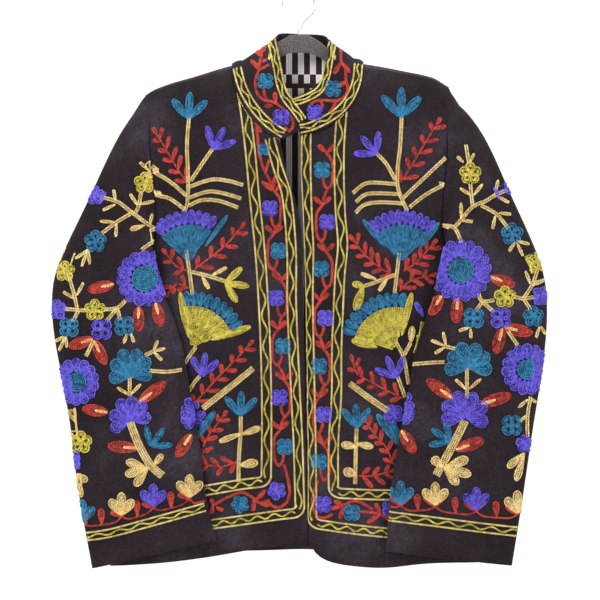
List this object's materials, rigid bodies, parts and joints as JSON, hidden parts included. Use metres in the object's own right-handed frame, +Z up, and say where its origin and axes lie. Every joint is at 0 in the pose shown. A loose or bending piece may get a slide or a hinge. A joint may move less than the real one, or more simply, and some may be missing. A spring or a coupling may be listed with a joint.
{
  "type": "embroidered velvet jacket on a hanger",
  "caption": "Long-sleeved velvet jacket with a stand collar and open front, hanging from a slim hanger with a wire hook.",
  "frame": {"origin": "inside top of the hanger's hook, where it rests on a rod", "axes": "+Z up, the open front faces -Y, +X is the wearer's left"},
  "size_m": [0.6216, 0.1346, 0.7285],
  "materials": {
    "velvet": "cotton velvet, matte",
    "lining": "woven striped cotton",
    "flock": "flocked",
    "steel": "bright wire"
  },
  "bodies": {
    "root": {"back": "velvet", "front_right": "velvet", "front_left": "velvet", "sleeve_right": "velvet", "sleeve_left": "velvet", "collar": "velvet", "back_lining": "lining", "hanger_bar": "flock", "hanger_hook": "steel"}
  },
  "joints": []
}
